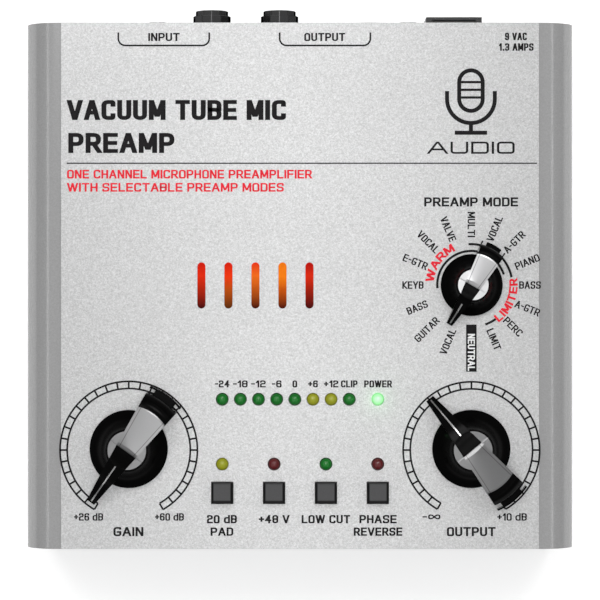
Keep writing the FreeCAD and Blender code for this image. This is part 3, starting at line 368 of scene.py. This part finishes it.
def soften(piece, width, smooth_angle, faceted):
    """Round every hard edge a little, as moulding and bending do. A faceted piece gets flat chamfers
    instead. Faces that lie within flat_angle degrees of one plane are joined first."""
    weld_distance, flat_angle = 0.0005, 0.4
    with bpy.context.temp_override(object=piece, active_object=piece, selected_objects=[piece]):
        bpy.ops.mesh.customdata_custom_splitnormals_clear()
    piece.data.polygons.foreach_set("use_smooth", [not faceted] * len(piece.data.polygons))
    weld = piece.modifiers.new("weld", "WELD")
    weld.merge_threshold = weld_distance * MM
    flatten = piece.modifiers.new("flatten", "DECIMATE")
    flatten.decimate_type = "DISSOLVE"
    flatten.angle_limit = math.radians(flat_angle)
    bevel = piece.modifiers.new("soften", "BEVEL")
    bevel.width = width * MM
    bevel.segments = 1 if faceted else 2
    bevel.limit_method = "ANGLE"
    bevel.angle_limit = math.radians(smooth_angle)
    bevel.harden_normals = not faceted
    bevel.use_clamp_overlap = True


# How wide the softened edges of a piece are, and how sharp, in degrees, an edge has to be to be softened.
USUAL_EDGE_WIDTH = 0.06
USUAL_SMOOTH_ANGLE = 35
EDGE_WIDTHS = {
    "top_cover": 0.15, "control_overlay": 0.04, "rubber_feet": 0.5, "jack_nuts": 0.48,
    "chassis_rear": 0.12, "chassis_front": 0.12, "chassis_floor": 0.12,
    "input_xlr_insert": 0.12, "input_xlr_shell": 0.12, "output_xlr_shell": 0.12,
    "power_switch_housing": 0.4, "power_rocker": 0.25,
    "glow_windows": 0.08, "xlr_screws": 0.08, "cover_screws": 0.08,
}
for name in ("gain", "output", "mode"):
    EDGE_WIDTHS[f"{name}_knob_body"] = 0.15
    EDGE_WIDTHS[f"{name}_knob_cap"] = 0.06
    EDGE_WIDTHS[f"{name}_knob_line"] = 0.02

SMOOTH_ANGLES = {"jack_nuts": 20, "gain_knob_cap": 8, "output_knob_cap": 8, "mode_knob_cap": 8}
FACETED = ("jack_nuts",)

for entry in frame["record"]["subparts"]:
    node, slot = entry["node"], entry["material_slot"]
    piece = nodes[node]
    piece.data.materials.clear()
    piece.data.materials.append(finish_of(node, slot))
    soften(piece, EDGE_WIDTHS.get(node, USUAL_EDGE_WIDTH), SMOOTH_ANGLES.get(node, USUAL_SMOOTH_ANGLE),
           node in FACETED)

# ---------------------------------------------------------------- lettering

# Squarish letters, most of them on a grid 4 wide and 6 high, their strokes parted by "|". Each stroke is a run
# of x,y points: bends are rounded unless the point ends in "!", and a stroke that returns to its first point
# is a closed loop. "~" stands for the sign of infinity.
GLYPHS = {
    "A": "0,0 2.3,6! 4.6,0|0.8,2 3.8,2", "B": "0,3.1 4,3.1 4,0 0,0! 0,6! 4,6 4,3.4",
    "C": "4,1 4,0 0,0 0,6 4,6 4,5",
    "D": "0,3 0,6! 4,6 4,0 0,0! 0,3", "E": "3.8,0 0,0! 0,6! 3.8,6|0,3 3.5,3", "F": "0,0 0,6! 3.8,6|0,3 3.5,3",
    "G": "4,5.3 4,6 0,6 0,0 4,0 4,2.7! 2.3,2.7", "H": "0,0 0,6|4,0 4,6|0,3 4,3", "I": "0,0 0,6",
    "K": "0,0 0,6|3.9,6 0.6,3! 4.1,0", "L": "0,6 0,0! 3.6,0",
    "M": "0,0 0,6! 2.6,1.2! 5.2,6! 5.2,0", "N": "0,0 0,6! 4,0! 4,6", "O": "2,0 0,0 0,6 4,6 4,0 2,0",
    "P": "0,0 0,6|0,6 4,6 4,2.6 0,2.6", "R": "0,0 0,6|0,6 4,6 4,2.7 0,2.7|2.2,2.7 4.1,0",
    "S": "0,1.1 0,0 4,0 4,3 0,3 0,6 4,6 4,4.9", "T": "2.1,0 2.1,6|0,6 4.2,6", "U": "0,6 0,0 4,0 4,6",
    "V": "0,6 2.3,0! 4.6,6", "W": "0,6 1.7,0! 3.4,6! 5.1,0! 6.8,6", "Y": "0,6 2.2,2.9! 4.4,6|2.2,2.9 2.2,0",
    "d": "4,6 4,0|4,0 0,0 0,4.2 4,4.2", "0": "2,0 0,0 0,6 3.8,6 3.8,0 2,0", "1": "0.2,4.6 1.7,6! 1.7,0",
    "2": "0,4.9 0,6 3.8,6 3.8,3.2 0,3.2 0,0! 3.8,0", "3": "0,5 0,6 3.8,6 3.8,3 1,3|1,3 3.8,3 3.8,0 0,0 0,1",
    "4": "3,0 3,6|3,6 0.2,2|0.2,2 4.2,2", "6": "3.8,5 3.8,6 0,6 0,0 3.8,0 3.8,1.6|0,3.4 3.8,3.4 3.8,1.7",
    "8": "2,3.1 0,3.1 0,6 3.8,6 3.8,3.1 2,3.1|2,3.1 0,3.1 0,0 3.8,0 3.8,3.1 2,3.1",
    "9": "0,1 0,0 3.8,0 3.8,6 0,6 0,4.4|3.8,2.6 0,2.6 0,4.3",
    "+": "0,3 3.2,3|1.6,1.4 1.6,4.6", "-": "0,3 1.9,3", ".": "0.5,0 0.5,0.3", " ": "0,0",
    "~": "3.5,3! 2,4.6 0,4.6 0,1.4 2,1.4 3.5,3!|3.5,3! 5,4.6 7,4.6 7,1.4 5,1.4 3.5,3!",
}
# Height of the grid, and gap between letters and width of a space in its units.
GRID_HEIGHT = 6
LETTER_GAP = 0.75
WORD_GAP = 0.6
# Radius of a bend as a share of a letter's height, and height of the pen as a share of its width.
BEND_RADIUS = 0.2
PEN_HEIGHT = 0.8
# Points nearer than this count as one.
SAME_POINT = 1e-4
# Cosines of the angle between the two sides of a bend: a bend below the first is straight, and a sharp one
# above the second is acute.
STRAIGHT = -0.99
ACUTE = 0.25
BEND_STEPS = 5


def polar(centre, radius, bearing):
    """Point at a radius and a bearing."""
    angle = math.radians(bearing)
    return Vector(centre) + radius * Vector((math.sin(angle), math.cos(angle)))


def bend(before, after):
    """Cosine of the angle between two sides."""
    return before.normalized().dot(after.normalized())


def read_stroke(text, run, rise):
    """Points of one stroke, scaled, with whether each bend is sharp."""
    points = []
    for token in text.split():
        x, y = token.rstrip("!").split(",")
        points.append((Vector((float(x) * run, float(y) * rise)), token.endswith("!")))
    return points


def rounded(points, radius, closed):
    """The same run of points with an arc at every bend that isn't sharp."""
    smooth = []
    count = len(points)
    for index, (point, sharp) in enumerate(points):
        inner = closed or 0 < index < count - 1
        if sharp or not inner:
            smooth.append(point)
            continue
        before, after = points[index - 1][0] - point, points[(index + 1) % count][0] - point
        if bend(before, after) < STRAIGHT:
            continue
        reach = min(radius, before.length / 2, after.length / 2)
        start, end = point + before.normalized() * reach, point + after.normalized() * reach
        for step in range(BEND_STEPS + 1):
            share = step / BEND_STEPS
            smooth.append(start * (1 - share) ** 2 + point * 2 * share * (1 - share) + end * share ** 2)
    distinct = smooth[:1]
    for last, point in zip(smooth, smooth[1:]):
        if (point - last).length > SAME_POINT:
            distinct.append(point)
    if closed and (distinct[0] - distinct[-1]).length < SAME_POINT:
        distinct.pop()
    return distinct


def split_points(points, half_pen):
    """Runs of a stroke between its acute corners, such as those of N, V and 4, each as its points, sharp or
    not, and how far the pen goes on past each of its two ends. An acute corner is drawn out to a point."""
    runs, start, before_start = [], 0, half_pen
    points = list(points)
    for index in range(1, len(points) - 1):
        point, sharp = points[index]
        before, after = points[index - 1][0] - point, points[index + 1][0] - point
        if sharp and bend(before, after) > ACUTE:
            outward = -math.copysign(half_pen, before.y + after.y)
            points[index] = (point + Vector((0, outward)), True)
            runs.append((points[start:index + 1], before_start, 0.0))
            start, before_start = index, 0.0
    return runs + [(points[start:], before_start, half_pen)]


def flat_end(end, inner, half_width, beyond):
    """Where the two edges of a strip stop, on a level or upright line just past its end."""
    way = (end - inner).normalized()
    across = Vector((-way.y, way.x)) * half_width
    axis = 1 if abs(way.y) > abs(way.x) else 0
    stop = end[axis] + math.copysign(beyond, way[axis])
    return [edge + way * (stop - edge[axis]) / way[axis] for edge in (end + across, end - across)]


def strip(path, width, closed=False, ends=None):
    """Left and right edges of a strip along a path. Ends, where given, is how far it goes past each end.
    The corners are mitred, but never out to more than the width itself."""
    sharpest = 0.5
    rings = []
    count = len(path)
    for index, point in enumerate(path):
        into = (point - path[index - 1]).normalized() if index or closed else None
        out = (path[(index + 1) % count] - point).normalized() if index < count - 1 or closed else None
        into, out = into or out, out or into
        across = Vector((-into.y - out.y, into.x + out.x)).normalized()
        reach = width / 2 / max(sharpest, across.dot(Vector((-into.y, into.x))))
        rings.append((point + across * reach, point - across * reach))
    if ends:
        right, left = flat_end(path[0], path[1], width / 2, ends[0])
        rings[0] = (left, right)
        rings[-1] = tuple(flat_end(path[-1], path[-2], width / 2, ends[1]))
    return rings


def set_line(words, cap, weight, width):
    """Letters of one line, from its lower left corner: for each, the x of its middle, and its strokes.
    The pen is wider across than it is high, so that uprights are heavier than bars."""
    stem, pen = cap * weight, cap * weight * PEN_HEIGHT
    squeeze = pen / stem
    spans, units = [], 0.0
    for letter in words:
        xs = [float(token.split(",")[0]) for token in GLYPHS[letter].replace("|", " ").split()]
        reach = max(xs) if letter != " " else WORD_GAP
        spans.append((letter, units, reach))
        units += reach + LETTER_GAP
    units -= LETTER_GAP
    run = (width - stem * len(words)) / units
    rise = (cap - pen) / GRID_HEIGHT
    letters = []
    for order, (letter, start, reach) in enumerate(spans):
        if letter == " ":
            continue
        left = start * run + stem * (order + 0.5)
        corner = Vector((left * squeeze, pen / 2))
        strokes = []
        for text in GLYPHS[letter].split("|"):
            points = read_stroke(text, run * squeeze, rise)
            closed = len(points) > 2 and (points[0][0] - points[-1][0]).length < SAME_POINT
            parts = [(points[:-1], 0, 0)] if closed else split_points(points, pen / 2)
            for part, first, last in parts:
                path = [point + corner for point in rounded(part, BEND_RADIUS * cap, closed)]
                edges = strip(path, pen, closed, None if closed else (first, last))
                strokes.append(([(Vector((one.x / squeeze, one.y)), Vector((other.x / squeeze, other.y)))
                                 for one, other in edges], closed))
        letters.append((left + reach / 2 * run, strokes))
    return letters


class Ink:
    """Printing of one colour. Every stroke is a closed strip a few hundredths of a millimetre thick. The tops
    of strokes in turn lie at levels that differ a little, so that strokes that cross seldom share a plane."""
    THICKNESS = 0.02
    LEVELS = 5
    LEVEL_STEP = 0.001
    ARC_STEP = 3
    FEWEST_STEPS = 6

    def __init__(self, name, slot, base=0.0):
        self.name, self.slot, self.base = name, slot, base
        self.mesh = bmesh.new()
        self.count = 0

    def solid(self, rings, closed):
        """Strip through a run of (left, right) points."""
        self.count += 1
        top = self.base + self.THICKNESS + self.LEVEL_STEP * (self.count % self.LEVELS)
        sections = []
        for left, right in rings:
            corners = [(left, top), (right, top), (right, self.base), (left, self.base)]
            places = [on_panel(point.x, point.y, height) for point, height in corners]
            sections.append([self.mesh.verts.new(place) for place in places])
        pairs = list(zip(sections, sections[1:])) + ([(sections[-1], sections[0])] if closed else [])
        for first, second in pairs:
            for side in range(4):
                around = (side + 1) % 4
                self.mesh.faces.new((first[side], first[around], second[around], second[side]))
        if not closed:
            self.mesh.faces.new(sections[0])
            self.mesh.faces.new(sections[-1][::-1])

    def line(self, path, width, closed=False):
        """Line of even width along a path."""
        self.solid(strip([Vector(point) for point in path], width, closed), closed)

    def arc(self, centre, radius, start, end, width):
        """Arc between two bearings."""
        steps = max(self.FEWEST_STEPS, int(abs(end - start) / self.ARC_STEP))
        bearings = [start + (end - start) * step / steps for step in range(steps + 1)]
        self.line([polar(centre, radius, bearing) for bearing in bearings], width)

    def letters(self, letters, place):
        """Letters of a line, each point of them moved by place."""
        for _, strokes in letters:
            for edges, closed in strokes:
                self.solid([(place(left), place(right)) for left, right in edges], closed)

    def text(self, words, left, right, baseline, cap, weight):
        """One level line between two x positions."""
        self.letters(set_line(words, cap, weight, right - left),
                     lambda point: point + Vector((left, baseline)))

    def spoke(self, words, centre, bearing, near, cap, width, weight=0.2, outward=True):
        """Line of text along a spoke of the dial, its inner end at the radius near."""
        turn = 90 - bearing if outward else -90 - bearing
        matrix = Matrix.Rotation(math.radians(turn), 2)
        corner = polar(centre, near if outward else near + width, bearing)
        self.letters(set_line(words, cap, weight, width),
                     lambda point: corner + matrix @ (point - Vector((0, cap / 2))))

    def curved(self, words, centre, radius, first, last, cap, weight, tops_out=True):
        """Text around a dial, from the bearing first to the bearing last at the middle of the letters."""
        width = abs(math.radians(last - first)) * radius
        for middle, strokes in set_line(words, cap, weight, width):
            bearing = first + (last - first) * middle / width
            matrix = Matrix.Rotation(math.radians(-bearing if tops_out else 180 - bearing), 2)
            spot, pivot = polar(centre, radius, bearing), Vector((middle, cap / 2))
            self.letters([(middle, strokes)], lambda point: spot + matrix @ (point - pivot))

    def done(self):
        """Turn the strokes into one piece that rides on the case."""
        bmesh.ops.recalc_face_normals(self.mesh, faces=self.mesh.faces[:])
        data = bpy.data.meshes.new(self.name)
        self.mesh.to_mesh(data)
        self.mesh.free()
        piece = bpy.data.objects.new(self.name, data)
        bpy.context.scene.collection.objects.link(piece)
        data.materials.append(FINISHES[self.slot])
        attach(piece, "case")


# ---------------------------------------------------------------- what is printed on the panel

gain = panel_spot("gain_shaft")
output = panel_spot("output_shaft")
mode = panel_spot("mode_shaft")


def print_bracket(ink, left, right):
    """Line that ties a connector's name to the connectors behind it."""
    top, low, corner, width = 62.55, 59.34, 1.7, 0.42
    path = [(left, top)]
    for middle, start in ((left + corner, 180), (right - corner, 270)):
        for degrees in range(start, start + 91, 15):
            turn = math.radians(degrees)
            path.append((middle + corner * math.cos(turn), low + corner + corner * math.sin(turn)))
    path.append((right, top))
    ink.line(path, width)


def print_headings():
    """What the device is, over a thin rule, with two lines of red under it."""
    ink = Ink("print_headings", "print_black")
    ink.text("VACUUM TUBE MIC", -57.5, -3.47, 40.95, 4.93, 0.25)
    ink.text("PREAMP", -57.2, -31.0, 32.8, 4.95, 0.25)
    ink.line([(-57.6, 30.27), (58.5, 30.27)], 0.3)
    ink.done()
    red = Ink("print_subtitle", "print_red")
    red.text("ONE CHANNEL MICROPHONE PREAMPLIFIER", -57.5, 2.95, 26.5, 2.15, 0.22)
    red.text("WITH SELECTABLE PREAMP MODES", -57.5, -4.0, 23.25, 2.15, 0.22)
    red.done()


def print_rear_labels():
    """Names of the connectors, and the supply that the inlet takes."""
    ink = Ink("print_rear_labels", "print_black")
    print_bracket(ink, -44.85, -22.4)
    print_bracket(ink, -5.02, 17.37)
    ink.text("INPUT", -37.46, -29.69, 60.43, 2.0, 0.23)
    ink.text("OUTPUT", 1.05, 11.17, 60.43, 2.0, 0.23)
    ink.text("9 VAC", 50.6, 56.0, 60.65, 1.85, 0.23)
    ink.text("1.3 AMPS", 49.1, 57.66, 58.04, 1.85, 0.23)
    ink.done()


def print_emblem():
    """Plain outline of a microphone on a stand, and a plain word under it."""
    middle, capsule, cradle, weight = 42.2, 2.9, 5.9, 1.0
    low, high, foot, foot_half, arm, slit = 46.1, 50.3, 37.8, 4, 2, 0.6
    ink = Ink("print_emblem", "print_black")
    rim = [polar((middle, high), capsule, bearing) for bearing in range(-90, 91, 10)]
    rim += [polar((middle, low), capsule, bearing) for bearing in range(90, 271, 10)]
    ink.line(rim, weight, closed=True)
    for height in (low + 0.4, (low + high) / 2 + 0.2, high):
        ink.line([(middle - capsule, height), (middle + capsule, height)], slit * weight)
    around = [polar((middle, low), cradle, bearing) for bearing in range(90, 271, 6)]
    ink.line([(middle + cradle, low + arm)] + around + [(middle - cradle, low + arm)], weight)
    ink.line([(middle, low - cradle), (middle, foot)], weight)
    ink.line([(middle - foot_half, foot), (middle + foot_half, foot)], weight)
    ink.text("AUDIO", 31.5, 53.0, 32.6, 3.0, 0.19)
    ink.done()


def print_scale(ink, dial, aside, outer):
    """Ring of thirty cells around a large knob, printed a little off the knob's axis."""
    inner, sweep, cell, line, forward = outer - 1.75, 150, 10, 0.45, 0.33
    centre = (dial[0] + aside, dial[1] - forward)
    for radius in (outer, inner):
        ink.arc(centre, radius, -sweep, sweep, line)
    for bearing in range(-sweep, sweep + 1, cell):
        ink.line([polar(centre, inner, bearing), polar(centre, outer, bearing)], line)


def print_front_labels():
    """Rings, ranges and names of the two large knobs, and names of the four push buttons."""
    ink = Ink("print_front_labels", "print_black")
    print_scale(ink, gain, -0.08, 16.95)
    print_scale(ink, output, 0.12, 16.85)
    ink.text("GAIN", gain[0] - 3.86, gain[0] + 3.54, -61.79, 2.25, 0.235)
    ink.text("OUTPUT", output[0] - 5.94, output[0] + 6.1, -61.79, 2.25, 0.235)
    ink.text("+26 dB", -55.8, -48.6, -57.96, 1.83, 0.21)
    ink.text("+60 dB", -35.8, -28.65, -57.96, 1.83, 0.21)
    ink.text("+10 dB", 48.7, 56.0, -57.96, 1.83, 0.21)
    ink.text("-~", 30.25, 34.65, -58.0, 1.95, 0.2)
    # For each button, by its x: the words of each line with their width.
    rows = {
        -19.27: (("20 dB", 7.4), ("PAD", 5.6)), -6.4: (("+48 V", 7.6),), 6.4: (("LOW CUT", 12.0),),
        19.27: (("PHASE", 9.2), ("REVERSE", 12.0)),
    }
    baselines = (-58.62, -61.7)
    for x, lines in rows.items():
        for (words, width), baseline in zip(lines, baselines):
            ink.text(words, x - width / 2, x + width / 2, baseline, 2.05, 0.235)
    ink.done()


def print_meter_labels():
    """Decibels under the meter lamps, each with its width, and the name of the power lamp."""
    ink = Ink("print_meter_labels", "print_black")
    first, pitch, baseline, cap, weight = -19.2, 4.48, -25.07, 1.73, 0.23
    power_x, power_half = 19.27, 3.43
    words = {"-24": 3.6, "-18": 3.6, "-12": 3.6, "-6": 2.4, "0": 1.15, "+6": 2.4, "+12": 3.6, "CLIP": 4.1}
    for order, (label, width) in enumerate(words.items()):
        x = first + pitch * order
        ink.text(label, x - width / 2, x + width / 2, baseline, cap, weight)
    ink.text("POWER", power_x - power_half, power_x + power_half, baseline, cap, weight)
    ink.done()


def print_mode_labels():
    """Sixteen positions of the mode knob: a word on each spoke, but for the front one, which is white on a
    black bar, and the names of two groups of them around the dial."""
    spoke_angle, spoke_start, turn_over = 22.5, 11.8, 8
    ink = Ink("print_mode_labels", "print_black")
    words = ("VOCAL", "A-GTR", "PIANO", "BASS", "A-GTR", "PERC", "LIMIT", None,
             "VOCAL", "GUITAR", "BASS", "KEYB", "E-GTR", "VOCAL", "VALVE", "MULTI")
    widths = (6.5, 6.4, 6.3, 5.35, 6.4, 5.5, 5.5, None, 6.6, 7.5, 5.35, 5.25, 6.3, 6.5, 6.3, 6.25)
    for step, (label, width) in enumerate(zip(words, widths), start=1):
        if label:
            ink.spoke(label, mode, spoke_angle * step, spoke_start, 1.85, width, outward=step < turn_over)
    ink.text("PREAMP MODE", 30.66, 53.83, 19.6, 2.25, 0.235)
    ink.arc(mode, 8.42, -95.5, 72, 0.58)
    ink.arc(mode, 10.1, -4, 79, 0.58)
    ink.arc(mode, 10.32, 144.2, 160.5, 0.58)
    ink.line([polar(mode, 9.75, 180), polar(mode, 21.4, 180)], 2.6)
    ink.done()
    red = Ink("print_mode_groups", "print_red")
    red.curved("WARM", mode, 10.3, -85.5, -25.5, 2.1, 0.27)
    red.curved("LIMITER", mode, 10.4, 144.0, 81.3, 2.05, 0.26, tops_out=False)
    red.done()
    white = Ink("print_neutral", "print_white", base=0.025)
    white.spoke("NEUTRAL", mode, 180, 12.05, 1.75, 9.15, 0.21)
    white.done()


print_headings()
print_rear_labels()
print_emblem()
print_front_labels()
print_meter_labels()
print_mode_labels()

# ---------------------------------------------------------------- floor, light and camera

def make_floor():
    """White paper under the feet, with a little light of its own to lift the shadows."""
    side, cloud_size = 6, 60
    bpy.ops.mesh.primitive_plane_add(size=side, location=(0, 0, 0))
    floor = bpy.context.object
    floor.name = "floor"
    tree = Tree("floor_white")
    paper = tree.blend(tree.noise(cloud_size), (0.90, 0.90, 0.90, 1), (0.92, 0.92, 0.92, 1))
    tree.set(Base_Color=paper, Roughness=0.6, Emission_Color=opaque(WHITE), Emission_Strength=0.42)
    floor.data.materials.append(tree.material)


def area_light(name, place, target, size, power):
    """Rectangular light, its long side level and running front to rear. Place and target are metres, and size
    is (across, along) metres."""
    light = bpy.data.lights.new(name, "AREA")
    light.shape = "RECTANGLE"
    light.size, light.size_y = size
    light.energy = power
    lamp = bpy.data.objects.new(name, light)
    lamp.location = place
    back = (Vector(place) - Vector(target)).normalized()
    along = (Vector((0, 1, 0)) - back * back.y).normalized()
    lamp.rotation_euler = Matrix((along.cross(back), along, back)).transposed().to_euler()
    bpy.context.scene.collection.objects.link(lamp)


def make_lights():
    """Dim white surroundings, a long light overhead, two small keys to the rear, a narrow and a wide strip on
    each side for the shoulders, and the glow of the power lamp."""
    world = bpy.data.worlds.new("studio")
    bpy.context.scene.world = world
    world.use_nodes = True
    sky = world.node_tree.nodes["Background"]
    sky.inputs["Color"].default_value = opaque(WHITE)
    sky.inputs["Strength"].default_value = 0.22
    target = (MIDDLE.x, MIDDLE.y, FACE)
    area_light("overhead", (-0.004, 0.3, 1.45), target, (0.16, 2.8), 8)
    area_light("key_left", (-0.31, 0.39, 1.18), target, (0.22, 0.22), 2.0)
    area_light("key_right", (0.43, 0.68, 1.2), target, (0.26, 0.26), 2.7)
    reach, length = 0.9, 2.4
    for name, degrees, width, power in (("strip", 45, 0.05, 1.5), ("soft", 28, 0.34, 0.95)):
        tilt = math.radians(degrees)
        for side, end in ((-1, "left"), (1, "right")):
            place = (side * reach * math.sin(tilt), MIDDLE.y, FACE + reach * math.cos(tilt))
            area_light(f"{name}_{end}", place, target, (width, length), power)
    glow = bpy.data.lights.new("power_lamp_glow", "POINT")
    glow.color, glow.energy, glow.shadow_soft_size = (0.35, 1.0, 0.4), 0.00025, 1.0 * MM
    halo = bpy.data.objects.new("power_lamp_glow", glow)
    halo.location = on_panel(*panel_spot("power_lamp"), rise=3.0)
    bpy.context.scene.collection.objects.link(halo)


def make_camera():
    """Long lens straight above the case, looking down."""
    focal_length, sensor_width, height, forward = 167.7, 36, 0.738, 0.00594
    camera = bpy.data.cameras.new("camera")
    camera.lens = focal_length
    camera.sensor_width = sensor_width
    view = bpy.data.objects.new("camera", camera)
    view.location = (0, -forward, height)
    bpy.context.scene.collection.objects.link(view)
    bpy.context.scene.camera = view


make_floor()
make_lights()
make_camera()
bpy.context.scene.view_settings.view_transform = "Standard"
